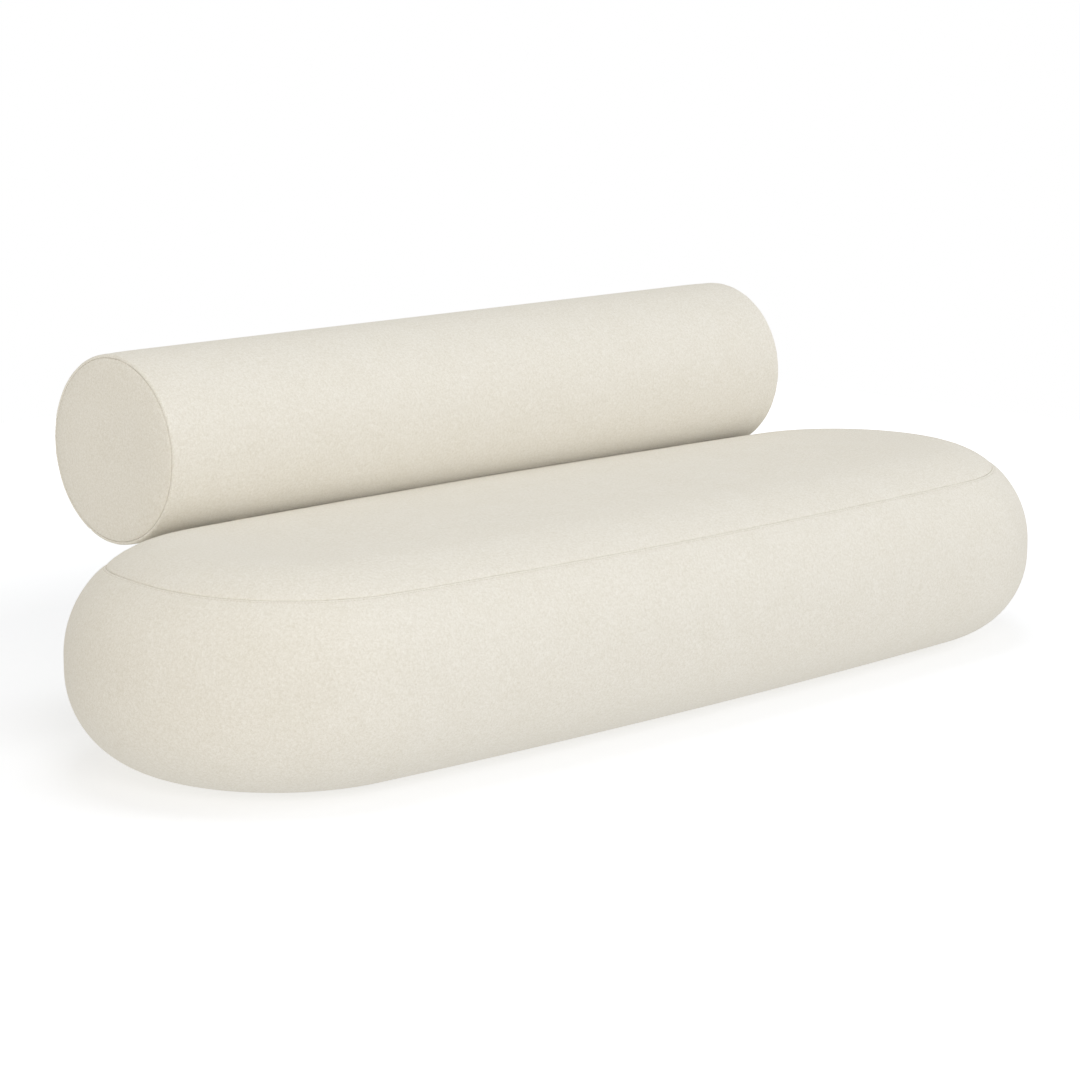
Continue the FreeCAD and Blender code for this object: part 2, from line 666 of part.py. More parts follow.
for name, side in POST_SIDES:
    body = new_body("post_%s" % name)
    sketch = new_sketch(body, "XY_Plane", "places.rail")
    draw_square(sketch, "0", "places.post_back", "sizes.post")
    steel = pad(body, sketch, "places.post_top - places.rail")
    uprights = []
    for number, edge in enumerate(steel.Shape.Edges, start=1):
        if edge.BoundBox.ZLength > value("sizes.post"):
            uprights.append("Edge%d" % number)
    round_edges(body, steel, uprights, "sizes.post_corner")
    pierce(body, lambda s: draw_square(s, "0", "places.post_back", "sizes.post - 2 * sizes.post_wall"),
           "places.rail", "places.post_top - places.rail")
    body.setExpression("Placement.Base.x", "%d * places.post_x" % side)
    node("back_post_%s" % name, cut(body, rail_bolts, core_bolts))


# Check every piece, then write it

doc.recompute()
for thing in doc.Objects:
    if "Invalid" in thing.State or "Error" in thing.State:
        raise RuntimeError("%s failed: %s" % (thing.Label, thing.State))
for thing in nodes:
    if thing.Shape.isNull() or not thing.Shape.isValid() or not thing.Shape.Solids:
        raise RuntimeError("%s is not a valid solid" % thing.Label)
os.makedirs("parts", exist_ok=True)
for thing in nodes:
    thing.Shape.exportStep("parts/%s.step" % thing.Label)
print(len(nodes), "nodes")
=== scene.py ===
import json
import math

import bmesh
import bpy
from mathutils import Matrix, Vector, noise


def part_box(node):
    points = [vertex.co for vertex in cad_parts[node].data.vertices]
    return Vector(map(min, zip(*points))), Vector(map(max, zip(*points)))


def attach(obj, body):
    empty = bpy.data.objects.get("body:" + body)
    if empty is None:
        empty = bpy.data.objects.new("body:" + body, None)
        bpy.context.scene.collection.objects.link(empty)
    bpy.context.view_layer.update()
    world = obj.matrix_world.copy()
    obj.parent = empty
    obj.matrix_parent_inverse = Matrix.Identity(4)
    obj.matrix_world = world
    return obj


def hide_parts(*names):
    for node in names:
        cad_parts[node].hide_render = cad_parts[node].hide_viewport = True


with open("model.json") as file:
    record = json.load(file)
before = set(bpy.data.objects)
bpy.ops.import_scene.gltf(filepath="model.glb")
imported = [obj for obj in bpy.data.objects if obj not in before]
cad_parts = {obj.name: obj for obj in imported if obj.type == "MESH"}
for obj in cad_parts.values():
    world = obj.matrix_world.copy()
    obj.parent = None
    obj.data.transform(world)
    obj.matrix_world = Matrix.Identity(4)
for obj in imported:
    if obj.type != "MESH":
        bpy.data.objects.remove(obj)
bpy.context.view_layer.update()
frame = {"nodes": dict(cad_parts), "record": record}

scene = bpy.context.scene
scene.view_settings.view_transform = "Standard"
cad_nodes = frame["nodes"]

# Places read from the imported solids, in metres
band_low, band_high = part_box("seat_side_cover")
panel_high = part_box("seat_top_cover")[1]
sleeve_low, sleeve_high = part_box("bolster_sleeve")
dust_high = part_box("bottom_cloth")[1]

# The seat: four tangent arcs in plan, two roundings with a short upright between them in section
SEAT_HALF_LENGTH = band_high.x
SEAT_HALF_DEPTH = (band_high.y - band_low.y) / 2
SEAT_MIDDLE = (band_high.y + band_low.y) / 2
SEAT_FOOT = band_low.z
SEAT_TOP = panel_high.z
END_RADIUS = 0.3835
UPPER_ROUNDING = 0.192
LOWER_ROUNDING = 0.173
UPRIGHT = SEAT_TOP - SEAT_FOOT - UPPER_ROUNDING - LOWER_ROUNDING
REACH = SEAT_HALF_LENGTH - END_RADIUS
SIDE_RADIUS = (REACH ** 2 + SEAT_HALF_DEPTH ** 2 - END_RADIUS ** 2) / (2 * (SEAT_HALF_DEPTH - END_RADIUS))
SIDE_OFFSET = SIDE_RADIUS - SEAT_HALF_DEPTH
JOIN_ANGLE = math.atan2(SIDE_OFFSET, REACH)
HEM = 0.03
TOP_FILL_INSET = 0.36

# The sewn line round the seat: it climbs a little from the front and drops again behind
SEAM_LEVEL = 0.3649
SEAM_CLIMB = 0.0303
SEAM_BACK_DROP = 0.333
SHOULDER_LEVEL = SEAT_TOP - UPPER_ROUNDING
SEAM_ANGLE = math.asin((SEAM_LEVEL - SHOULDER_LEVEL) / UPPER_ROUNDING)

# The bolster: a cylinder along X with a small rounding at each rim
BOLSTER_RADIUS = (sleeve_high.z - sleeve_low.z) / 2
BOLSTER_HALF_LENGTH = sleeve_high.x
BOLSTER_AXIS = Vector((0, (sleeve_high.y + sleeve_low.y) / 2, (sleeve_high.z + sleeve_low.z) / 2))
RIM_ROUNDING = 0.0045
RIM_SEAM_INSET = 0.0055
RIM_STRIP = 0.03
CLOSING_SEAM_ANGLE = math.radians(155)

# Cloth
CLOTH = 0.0012
PROUD = 0.001
FOAM_DEPTH = 0.0021
TOUCH = 0.00015
ROW = 0.012
LONG_ROW = 0.04
FINE_ROW = 0.00125
FINE_REACH = 0.0125
END_STEPS = 144
SIDE_STEPS = 198
JOIN_STEPS = 20
BOLSTER_STEPS = 480
MERGE = 0.0004

# What sewing does to the cloth beside a seam
SEAM_DIP = 0.0021
SEAM_REACH = 0.0015
SHOULDER_DIP = 0.0011
SHOULDER_REACH = 0.012
TOPSTITCH_DROP = 4 * FINE_ROW
TOPSTITCH_DIP = 0.0009
TOPSTITCH_REACH = 0.0018
TOPSTITCH_LENGTH = 0.0045
TOPSTITCH_GAP = 0.0012
THREAD = 0.0008
RIPPLE = 0.0005
RIPPLE_LENGTH = 0.016
RIPPLE_REACH = 0.014
STITCH_PITCH = 0.008
STITCH_PULL = 0.0003
STITCH_REACH = 0.008

# The cloth under the seat
DUST_CLOTH = 0.0006
DUST_LAP = 0.012
DUST_ROW = 0.006
DUST_HELD = 0.08
DUST_SAG_REACH = 0.08
DUST_SAG = 0.002
STAPLE_PITCH = 0.06
STAPLE_LENGTH = 0.011
STAPLE_WIRE = 0.0011

# Padding
SWELL_FRAMES = 14
SWELL_QUALITY = 3
SWELL_PRESSURE = 1.0
AIR_DAMPING = 6
CLOTH_DAMPING = 20
TOP_SWELL = 0.005
SIDE_SWELL = 0.0025
SLEEVE_SWELL = 0.0015
DISC_SWELL = 0.004
CONTACT_REACH = 0.006


# Helpers for the profile, the seat's plan and the cloth

def run(bm, tip, step, pitch):
    """Carries the tip of a profile straight by a step, in parts about one pitch long."""
    parts = max(1, round(step.length / pitch))
    made = bmesh.ops.spin(bm, geom=[tip], dvec=step / parts, axis=(0, 0, 1), angle=0, steps=parts)
    return last_vertex(made)


def turn(bm, tip, centre, angle, pitch):
    """Carries the tip of a profile round a centre in the XZ plane."""
    radius = (tip.co - centre).length
    parts = max(1, round(abs(angle) * radius / pitch))
    made = bmesh.ops.spin(bm, geom=[tip], cent=centre, axis=(0, 1, 0), angle=angle, steps=parts)
    return last_vertex(made)


def last_vertex(made):
    return next(v for v in made["geom_last"] if isinstance(v, bmesh.types.BMVert))


def outline_at(point):
    """How far a point lies inside the seat's outline in plan, and the outward direction there."""
    across = point.x
    along = point.y - SEAT_MIDDLE
    beyond = Vector((abs(across) - REACH, abs(along)))
    if math.atan2(beyond.y, beyond.x) < JOIN_ANGLE:
        away = Vector((across - math.copysign(REACH, across), along, 0))
        return END_RADIUS - away.length, away.normalized()
    away = Vector((across, along + math.copysign(SIDE_OFFSET, along), 0))
    return SIDE_RADIUS - away.length, away.normalized()


def sweep_round_seat(bm):
    """Carries a profile, drawn outwards from an end arc's centre, once round the seat's outline."""
    to_start = Matrix.Translation((REACH, SEAT_MIDDLE, 0)) @ Matrix.Rotation(-JOIN_ANGLE, 4, "Z")
    bmesh.ops.transform(bm, matrix=to_start, verts=bm.verts)
    end_turn = 2 * JOIN_ANGLE
    side_turn = math.pi - end_turn
    join_turn = 2 * FINE_REACH / SIDE_RADIUS
    half_turn = (side_turn - join_turn) / 2
    back_centre = Vector((0, SEAT_MIDDLE - SIDE_OFFSET, 0))
    arcs = (
        (Vector((REACH, SEAT_MIDDLE, 0)), end_turn, END_STEPS),
        (back_centre, half_turn, SIDE_STEPS // 2),
        (back_centre, join_turn, JOIN_STEPS),
        (back_centre, half_turn, SIDE_STEPS // 2),
        (Vector((-REACH, SEAT_MIDDLE, 0)), end_turn, END_STEPS),
        (Vector((0, SEAT_MIDDLE + SIDE_OFFSET, 0)), side_turn, SIDE_STEPS),
    )
    profile = bm.verts[:] + bm.edges[:]
    for centre, angle, steps in arcs:
        made = bmesh.ops.spin(bm, geom=profile, cent=centre, axis=(0, 0, 1), angle=angle, steps=steps)
        profile = made["geom_last"]
    bmesh.ops.remove_doubles(bm, verts=bm.verts, dist=MERGE)


def close_middle(bm, beyond):
    """Fills the hole left in the middle of a swept panel: its edge lies further in than the inset."""
    middle = [e for e in bm.edges if e.is_boundary and outline_at(e.verts[0].co)[0] > beyond]
    bmesh.ops.triangle_fill(bm, edges=middle, use_beauty=True)


def sweep_round_bolster(bm):
    """Turns a profile, drawn above the bolster's axis, once round that axis."""
    bmesh.ops.translate(bm, vec=BOLSTER_AXIS, verts=bm.verts)
    profile = bm.verts[:] + bm.edges[:]
    bmesh.ops.spin(
        bm,
        geom=profile,
        cent=BOLSTER_AXIS,
        axis=(1, 0, 0),
        angle=math.tau,
        steps=BOLSTER_STEPS,
        use_merge=True,
    )
    bmesh.ops.remove_doubles(bm, verts=bm.verts, dist=MERGE)


def face_away_from(bm, inside):
    """Turns the faces so that they look away from a point inside the piece."""
    bmesh.ops.recalc_face_normals(bm, faces=bm.faces)
    leaning = sum(f.normal.dot(f.calc_center_median() - inside) * f.calc_area() for f in bm.faces)
    if leaning < 0:
        bmesh.ops.reverse_faces(bm, faces=bm.faces)


def make_piece(bm, name):
    """Makes an object of a bmesh, smooth, riding on the sofa."""
    mesh = bpy.data.meshes.new(name)
    bm.to_mesh(mesh)
    bm.free()
    mesh.shade_smooth()
    piece = bpy.data.objects.new(name, mesh)
    scene.collection.objects.link(piece)
    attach(piece, "root")
    return piece


def swell(piece, held, most):
    """Lets the padding press the cloth out between its held rows, then keeps the shape at the most given."""
    group = piece.vertex_groups.new(name="held")
    group.add(held, 1.0, "REPLACE")
    cloth = piece.modifiers.new("swell", "CLOTH")
    cloth.settings.vertex_group_mass = group.name
    cloth.settings.use_pressure = True
    cloth.settings.uniform_pressure_force = SWELL_PRESSURE
    cloth.settings.effector_weights.gravity = 0
    cloth.settings.quality = SWELL_QUALITY
    cloth.settings.air_damping = AIR_DAMPING
    cloth.settings.tension_damping = CLOTH_DAMPING
    cloth.settings.compression_damping = CLOTH_DAMPING
    cloth.settings.shear_damping = CLOTH_DAMPING
    cloth.point_cache.frame_end = SWELL_FRAMES
    for moment in range(1, SWELL_FRAMES + 1):
        scene.frame_set(moment)
    solved = piece.evaluated_get(bpy.context.evaluated_depsgraph_get())
    shifts = [after.co - before.co for before, after in zip(piece.data.vertices, solved.data.vertices)]
    piece.modifiers.remove(cloth)
    piece.vertex_groups.remove(group)
    scene.frame_set(1)
    share = most / max(shift.length for shift in shifts)
    for vertex, shift in zip(piece.data.vertices, shifts):
        vertex.co += shift * share


def seam_crease(distance):
    """How far the cloth is drawn in at a distance from a seam."""
    near = abs(distance)
    stitch_line = SEAM_DIP * math.exp(-near / SEAM_REACH)
    shoulder = SHOULDER_DIP * math.exp(-((near / SHOULDER_REACH) ** 2))
    return stitch_line + shoulder


def ripple(point, distance):
    """The small puckers that stitches leave beside a seam."""
    wave = noise.noise(point / RIPPLE_LENGTH) + 0.5 * noise.noise(point / (2.7 * RIPPLE_LENGTH))
    return RIPPLE * wave * math.exp(-((distance / RIPPLE_REACH) ** 2))


def stitch_pull(point, distance):
    """The regular tucks between the stitches of a rim seam."""
    angle = math.atan2(point.y - BOLSTER_AXIS.y, point.z - BOLSTER_AXIS.z)
    stitches = round(math.tau * BOLSTER_RADIUS / STITCH_PITCH)
    uneven = 0.6 + 0.8 * noise.noise(point / (3 * RIPPLE_LENGTH))
    return STITCH_PULL * uneven * math.sin(stitches * angle) * math.exp(-((distance / STITCH_REACH) ** 2))


def stand_off(dip, tucks):
    """How far the cloth stands off the plain surface: never as deep as the foam under it."""
    return max(-FOAM_DEPTH, PROUD - dip + tucks)


def thicken(piece, thickness):
    """Gives the cloth its thickness, inwards."""
    wall = piece.modifiers.new("cloth_thickness", "SOLIDIFY")
    wall.thickness = thickness
    wall.offset = -1


# The seat's covers

def seam_level(point):
    """The seam's height: it climbs a little from the front and drops again behind, under the bolster."""
    across = point.y - SEAT_MIDDLE
    return SEAM_LEVEL + SEAM_CLIMB * across - SEAM_BACK_DROP * max(0, across) ** 2


def climb_seam(bm):
    """Slides the rows of the upper rounding along it, so that the seam row follows the seam's height."""
    for vertex in bm.verts:
        inset, outward = outline_at(vertex.co)
        if inset > UPPER_ROUNDING or vertex.co.z < SHOULDER_LEVEL:
            continue
        angle = math.atan2(vertex.co.z - SHOULDER_LEVEL, UPPER_ROUNDING - inset)
        seam_angle = math.asin((seam_level(vertex.co) - SHOULDER_LEVEL) / UPPER_ROUNDING)
        if angle < SEAM_ANGLE:
            slid = angle * seam_angle / SEAM_ANGLE
        else:
            left = (math.pi / 2 - angle) / (math.pi / 2 - SEAM_ANGLE)
            slid = math.pi / 2 - left * (math.pi / 2 - seam_angle)
        vertex.co += outward * UPPER_ROUNDING * (math.cos(slid) - math.cos(angle))
        vertex.co.z += UPPER_ROUNDING * (math.sin(slid) - math.sin(angle))


def seam_distance(point):
    """How far a point of the upper rounding lies above the level seam row, along the rounding."""
    inset = outline_at(point)[0]
    flat = max(0, inset - UPPER_ROUNDING)
    angle = math.atan2(point.z - SHOULDER_LEVEL, max(UPPER_ROUNDING - inset, 0))
    return (angle - SEAM_ANGLE) * UPPER_ROUNDING + flat


def under_bolster(point, reach):
    """True where the seat lies within reach of the bolster."""
    gap = (Vector((0, point.y, point.z)) - BOLSTER_AXIS).length - BOLSTER_RADIUS
    return abs(point.x) < BOLSTER_HALF_LENGTH and gap < reach


def keep_off_bolster(point):
    """Presses a point of the seat back to the bolster's surface."""
    away = Vector((0, point.y, point.z)) - BOLSTER_AXIS
    short = BOLSTER_RADIUS + TOUCH - away.length
    if abs(point.x) < BOLSTER_HALF_LENGTH and short > 0:
        return point + away.normalized() * short
    return point


def band_join(point, distance):
    """How far the band is drawn in where its two ends are sewn together, at the middle of the back."""
    if distance > 0 or point.y < SEAT_MIDDLE:
        return 0
    return seam_crease(point.x)


def dress_seat(piece, distances, swelled):
    """Swells a seat cover, draws it in along seam and topstitching, and presses it under the bolster."""
    mesh = piece.data
    held = [
        v.index
        for v in mesh.vertices
        if abs(distances[v.index]) < FINE_ROW / 2
        or v.co.z < SEAT_FOOT + FINE_ROW
        or under_bolster(v.co, CONTACT_REACH)
    ]
    swell(piece, held, swelled)
    directions = [n.vector.copy() for n in mesh.vertex_normals]
    for vertex, distance, direction in zip(mesh.vertices, distances, directions):
        below = distance + TOPSTITCH_DROP
        dip = max(seam_crease(distance), band_join(vertex.co, distance))
        dip += TOPSTITCH_DIP * math.exp(-((below / TOPSTITCH_REACH) ** 2))
        rise = stand_off(dip, ripple(vertex.co, distance))
        vertex.co = keep_off_bolster(vertex.co + direction * rise)
    mesh.update()


def seat_top():
    """The panel above the seam: the rest of the upper rounding and the flat top."""
    bm = bmesh.new()
    centre = Vector((END_RADIUS - UPPER_ROUNDING, 0, SHOULDER_LEVEL))
    start = centre + UPPER_ROUNDING * Vector((math.cos(SEAM_ANGLE), 0, math.sin(SEAM_ANGLE)))
    fine_turn = FINE_REACH / UPPER_ROUNDING
    tip = turn(bm, bm.verts.new(start), centre, -fine_turn, FINE_ROW)
    tip = turn(bm, tip, centre, -(math.pi / 2 - SEAM_ANGLE - fine_turn), ROW)
    run(bm, tip, Vector((UPPER_ROUNDING - TOP_FILL_INSET, 0, 0)), ROW)
    sweep_round_seat(bm)
    close_middle(bm, UPPER_ROUNDING)
    face_away_from(bm, Vector((0, SEAT_MIDDLE, SEAT_FOOT)))
    distances = [seam_distance(v.co) for v in bm.verts]
    climb_seam(bm)
    piece = make_piece(bm, "seat_top_panel")
    dress_seat(piece, distances, TOP_SWELL)
    thicken(piece, CLOTH)
    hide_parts("seat_top_cover")
    return piece


def seat_side():
    """The band below the seam: hem, lower rounding, upright and the start of the upper rounding."""
    bm = bmesh.new()
    lower = Vector((END_RADIUS - LOWER_ROUNDING, 0, SEAT_FOOT + LOWER_ROUNDING))
    upper = Vector((END_RADIUS - UPPER_ROUNDING, 0, SHOULDER_LEVEL))
    start = Vector((END_RADIUS - LOWER_ROUNDING - HEM, 0, SEAT_FOOT))
    fine_turn = FINE_REACH / UPPER_ROUNDING
    tip = run(bm, bm.verts.new(start), Vector((HEM, 0, 0)), ROW)
    tip = turn(bm, tip, lower, -math.pi / 2, ROW)
    tip = run(bm, tip, Vector((0, 0, UPRIGHT)), ROW)
    tip = turn(bm, tip, upper, -(SEAM_ANGLE - fine_turn), ROW)
    turn(bm, tip, upper, -fine_turn, FINE_ROW)
    sweep_round_seat(bm)
    face_away_from(bm, Vector((0, SEAT_MIDDLE, SHOULDER_LEVEL)))
    distances = [seam_distance(v.co) for v in bm.verts]
    climb_seam(bm)
    piece = make_piece(bm, "seat_side_band")
    dress_seat(piece, distances, SIDE_SWELL)
    thicken(piece, CLOTH)
    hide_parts("seat_side_cover")
    row = [i for i, distance in enumerate(distances) if abs(distance + TOPSTITCH_DROP) < FINE_ROW / 4]
    return piece, row


def ring_of(piece, chosen):
    """The chosen vertices of a seat cover in order round the seat, each with its normal."""
    mesh = piece.data
    found = [(mesh.vertices[i].co.copy(), mesh.vertex_normals[i].vector.copy()) for i in chosen]
    return sorted(found, key=lambda pair: math.atan2(pair[0].y - SEAT_MIDDLE, pair[0].x))


def steps_round(ring, pitch):
    """Places at an even pitch along a closed ring: each a matrix with X along the ring and Z outwards."""
    spans = list(zip(ring, ring[1:] + ring[:1]))
    total = sum((end[0] - start[0]).length for start, end in spans)
    count = round(total / pitch)
    walked = 0
    placed = 0
    for (start, outward), (end, _) in spans:
        span = end - start
        while placed < count and placed * total / count < walked + span.length:
            along = span.normalized()
            across = outward.cross(along).normalized()
            at = start + along * (placed * total / count - walked)
            yield Matrix.Translation(at) @ Matrix((along, across, along.cross(across))).transposed().to_4x4()
            placed += 1
        walked += span.length


def repeat(one, spots, name):
    """One piece made of the same small form put down at every spot."""
    form = bpy.data.meshes.new(name + "_one")
    one.to_mesh(form)
    one.free()
    bm = bmesh.new()
    for spot in spots:
        form.transform(spot)
        bm.from_mesh(form)
        form.transform(spot.inverted())
    bpy.data.meshes.remove(form)
    return make_piece(bm, name)


def topstitching(band, row):
    """A row of thread stitches just below the seam."""
    one = bmesh.new()
    shape = Matrix.Diagonal((TOPSTITCH_LENGTH / 2, THREAD / 2, THREAD / 2, 1))
    bmesh.ops.create_uvsphere(one, u_segments=6, v_segments=5, radius=1, matrix=shape)
    spots = steps_round(ring_of(band, row), TOPSTITCH_LENGTH + TOPSTITCH_GAP)
    return repeat(one, spots, "seat_topstitching")


# The cloth under the seat

def underside():
    """The black cloth stapled under the seat, lapped over the covers' hem and sagging a little."""
    bm = bmesh.new()
    inset = SEAT_HALF_LENGTH - dust_high.x - DUST_LAP
    start = Vector((END_RADIUS - inset, 0, SEAT_FOOT - PROUD))
    run(bm, bm.verts.new(start), Vector((inset - TOP_FILL_INSET, 0, 0)), DUST_ROW)
    sweep_round_seat(bm)
    close_middle(bm, TOP_FILL_INSET - DUST_ROW)
    face_away_from(bm, Vector((0, SEAT_MIDDLE, SEAT_TOP)))
    for vertex in bm.verts:
        inwards = min(1, max(0, (outline_at(vertex.co)[0] - inset - DUST_HELD) / DUST_SAG_REACH))
        vertex.co.z -= DUST_CLOTH + DUST_SAG * inwards * inwards * (3 - 2 * inwards)
    piece = make_piece(bm, "underside_cloth")
    row = [v.index for v in piece.data.vertices if abs(outline_at(v.co)[0] - inset - DUST_ROW) < MERGE]
    thicken(piece, DUST_CLOTH)
    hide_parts("bottom_cloth")
    return piece, row


def staples(cloth, row):
    """Flat wire staples round the edge of the underside cloth."""
    one = bmesh.new()
    shape = Matrix.Diagonal((STAPLE_LENGTH, STAPLE_WIRE, STAPLE_WIRE, 1))
    bmesh.ops.create_cube(one, size=1, matrix=shape)
    bmesh.ops.bevel(one, geom=one.edges[:], offset=STAPLE_WIRE / 4, affect="EDGES", segments=2, profile=0.5)
    spots = steps_round(ring_of(cloth, row), STAPLE_PITCH)
    return repeat(one, spots, "underside_staples")


# The bolster's covers

def keep_off_seat(point):
    """Presses a point of the bolster back to the seat's rear rounding."""
    inset, outward = outline_at(point)
    away = outward * (UPPER_ROUNDING - inset) + Vector((0, 0, point.z - SHOULDER_LEVEL))
    short = UPPER_ROUNDING + TOUCH - away.length
    if short > 0:
        return point + away.normalized() * short
    return point


def rim_distance(point):
    """How far a point of the bolster lies from the rim seam, along the cloth: outside it positive."""
    radial = Vector((0, point.y, point.z)) - BOLSTER_AXIS
    along = BOLSTER_HALF_LENGTH - abs(point.x)
    return radial.length - (BOLSTER_RADIUS - RIM_SEAM_INSET) + along


def closing_distance(point):
    """How far a point of the sleeve lies from its closing seam, round the sleeve."""
    angle = math.atan2(point.y - BOLSTER_AXIS.y, point.z - BOLSTER_AXIS.z)
    return (angle - CLOSING_SEAM_ANGLE) * BOLSTER_RADIUS


def bolster_sleeve():
    """The sleeve round the bolster, turned over both rims, with its closing seam below at the back."""
    bm = bmesh.new()
    corner = BOLSTER_HALF_LENGTH - RIM_ROUNDING
    shoulder = BOLSTER_RADIUS - RIM_ROUNDING
    start = Vector((-BOLSTER_HALF_LENGTH, 0, BOLSTER_RADIUS - RIM_SEAM_INSET))
    over = Vector((0, 0, RIM_SEAM_INSET - RIM_ROUNDING))
    near_rim = Vector((RIM_STRIP, 0, 0))
    tip = run(bm, bm.verts.new(start), over, FINE_ROW / 2)
    tip = turn(bm, tip, Vector((-corner, 0, shoulder)), math.pi / 2, FINE_ROW)
    tip = run(bm, tip, near_rim, 2 * FINE_ROW)
    tip = run(bm, tip, Vector((2 * corner, 0, 0)) - 2 * near_rim, LONG_ROW)
    tip = run(bm, tip, near_rim, 2 * FINE_ROW)
    tip = turn(bm, tip, Vector((corner, 0, shoulder)), math.pi / 2, FINE_ROW)
    run(bm, tip, -over, FINE_ROW / 2)
    sweep_round_bolster(bm)
    face_away_from(bm, BOLSTER_AXIS)
    distances = [(rim_distance(v.co), closing_distance(v.co)) for v in bm.verts]
    piece = make_piece(bm, "bolster_sleeve_cloth")
    mesh = piece.data
    held = [
        v.index
        for v in mesh.vertices
        if distances[v.index][0] < RIM_SEAM_INSET or abs(distances[v.index][1]) < FINE_ROW
    ]
    swell(piece, held, SLEEVE_SWELL)
    directions = [n.vector.copy() for n in mesh.vertex_normals]
    for vertex, (to_rim, to_closing), direction in zip(mesh.vertices, distances, directions):
        dip = max(seam_crease(to_rim), seam_crease(to_closing))
        rise = stand_off(dip, ripple(vertex.co, to_rim) + stitch_pull(vertex.co, to_rim))
        vertex.co = keep_off_seat(vertex.co + direction * rise)
    mesh.update()
    thicken(piece, CLOTH)
    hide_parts("bolster_sleeve")
    return piece


def bolster_end(side):
    """The round panel sewn into one end of the sleeve; side is -1 on the left and 1 on the right."""
    bm = bmesh.new()
    edge = Vector((side * BOLSTER_HALF_LENGTH, 0, BOLSTER_RADIUS - RIM_SEAM_INSET))
    fine = Vector((0, 0, -FINE_REACH))
    tip = run(bm, bm.verts.new(edge), fine, FINE_ROW)
    run(bm, tip, Vector((0, 0, -tip.co.z)), ROW)
    sweep_round_bolster(bm)
    face_away_from(bm, BOLSTER_AXIS)
    distances = [rim_distance(v.co) for v in bm.verts]
    hand = "left" if side < 0 else "right"
    piece = make_piece(bm, "bolster_end_panel_" + hand)
    mesh = piece.data
    held = [v.index for v in mesh.vertices if abs(distances[v.index]) < FINE_ROW / 2]
    swell(piece, held, DISC_SWELL)
    for vertex, distance in zip(mesh.vertices, distances):
        tucks = ripple(vertex.co, distance) + stitch_pull(vertex.co, distance)
        vertex.co.x += side * stand_off(seam_crease(distance), tucks)
    mesh.update()
    thicken(piece, CLOTH)
    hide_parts("bolster_end_cover_" + hand)
    return piece


# Materials

def new_material(name):
    """A material with its principled shader, its nodes and its links."""
    material = bpy.data.materials.new(name)
    material.use_nodes = True
    return material, material.node_tree.nodes["Principled BSDF"]


def add_node(material, kind, **inputs):
    """Adds a node, with its inputs set by name: a number or colour is set, a socket is linked."""
    node = material.node_tree.nodes.new(kind)
    for name, given in inputs.items():
        socket = node.inputs[name.replace("_", " ")]
        if isinstance(given, bpy.types.NodeSocket):
            material.node_tree.links.new(given, socket)
        else:
            socket.default_value = given
    return node


def join(material, source, target):
    material.node_tree.links.new(source, target)


def own_place(material, stretch=(1, 1, 1)):
    """The piece's own coordinates, stretched."""
    own = add_node(material, "ShaderNodeTexCoord").outputs["Object"]
    return add_node(material, "ShaderNodeMapping", Vector=own, Scale=stretch).outputs[0]


def grain(material, at, scale, detail=2.0, roughness=0.5):
    made = add_node(
        material, "ShaderNodeTexNoise", Vector=at, Scale=scale, Detail=detail, Roughness=roughness
    )
    return made.outputs["Fac"]


def tones(material, by, dark, light, low=0.3, high=0.7):
    """Runs a value between two colours."""
    ramp = add_node(material, "ShaderNodeValToRGB", Fac=by)
    ramp.color_ramp.elements[0].position = low
    ramp.color_ramp.elements[1].position = high
    ramp.color_ramp.elements[0].color = (*dark, 1)
    ramp.color_ramp.elements[1].color = (*light, 1)
    return ramp.outputs["Color"]


def blend_colours(material, first, second, share, way="MIX"):
    node = material.node_tree.nodes.new("ShaderNodeMix")
    node.data_type = "RGBA"
    node.blend_type = way
    node.inputs["Factor"].default_value = share
    join(material, first, node.inputs[6])
    join(material, second, node.inputs[7])
    return node.outputs[2]


def relief(material, height, strength, depth, below=None):
    bump = add_node(material, "ShaderNodeBump", Height=height, Strength=strength, Distance=depth)
    if below is not None:
        join(material, below, bump.inputs["Normal"])
    return bump.outputs["Normal"]


def linear(red, green, blue):
    """A colour given as it shows on a screen, from 0 to 255, as light."""
    def light(level):
        share = level / 255
        return share / 12.92 if share <= 0.04045 else ((share + 0.055) / 1.055) ** 2.4
    return light(red), light(green), light(blue)


def felt():
    """Cream felted wool: matted fibres, a fine speckle and slow drifts of tone."""
    material, shader = new_material("cream_felt_cloth")
    at = own_place(material)
    speckle = tones(
        material, grain(material, at, 520, 4, 0.75), linear(204, 197, 181), linear(255, 254, 251), 0.3, 0.7
    )
    flecks = tones(
        material, grain(material, at, 210, 3, 0.7), linear(216, 210, 196), linear(254, 252, 247), 0.3, 0.7
    )
    drift = tones(
        material, grain(material, at, 14, 3, 0.55), linear(236, 232, 222), linear(242, 239, 232), 0.3, 0.7
    )
    colour = blend_colours(material, speckle, flecks, 0.5)
    colour = blend_colours(material, colour, drift, 0.3)
    join(material, colour, shader.inputs["Base Color"])
    fibres = relief(material, grain(material, at, 900, 3, 0.7), 0.35, 0.0006)
    matting = relief(material, grain(material, at, 240, 3, 0.6), 0.3, 0.0008, fibres)
    join(material, matting, shader.inputs["Normal"])
    shader.inputs["Roughness"].default_value = 0.95
    shader.inputs["Specular IOR Level"].default_value = 0.15
    shader.inputs["Sheen Weight"].default_value = 0.12
    shader.inputs["Sheen Roughness"].default_value = 0.5
    shader.inputs["Sheen Tint"].default_value = (1.0, 0.97, 0.92, 1)
    return material


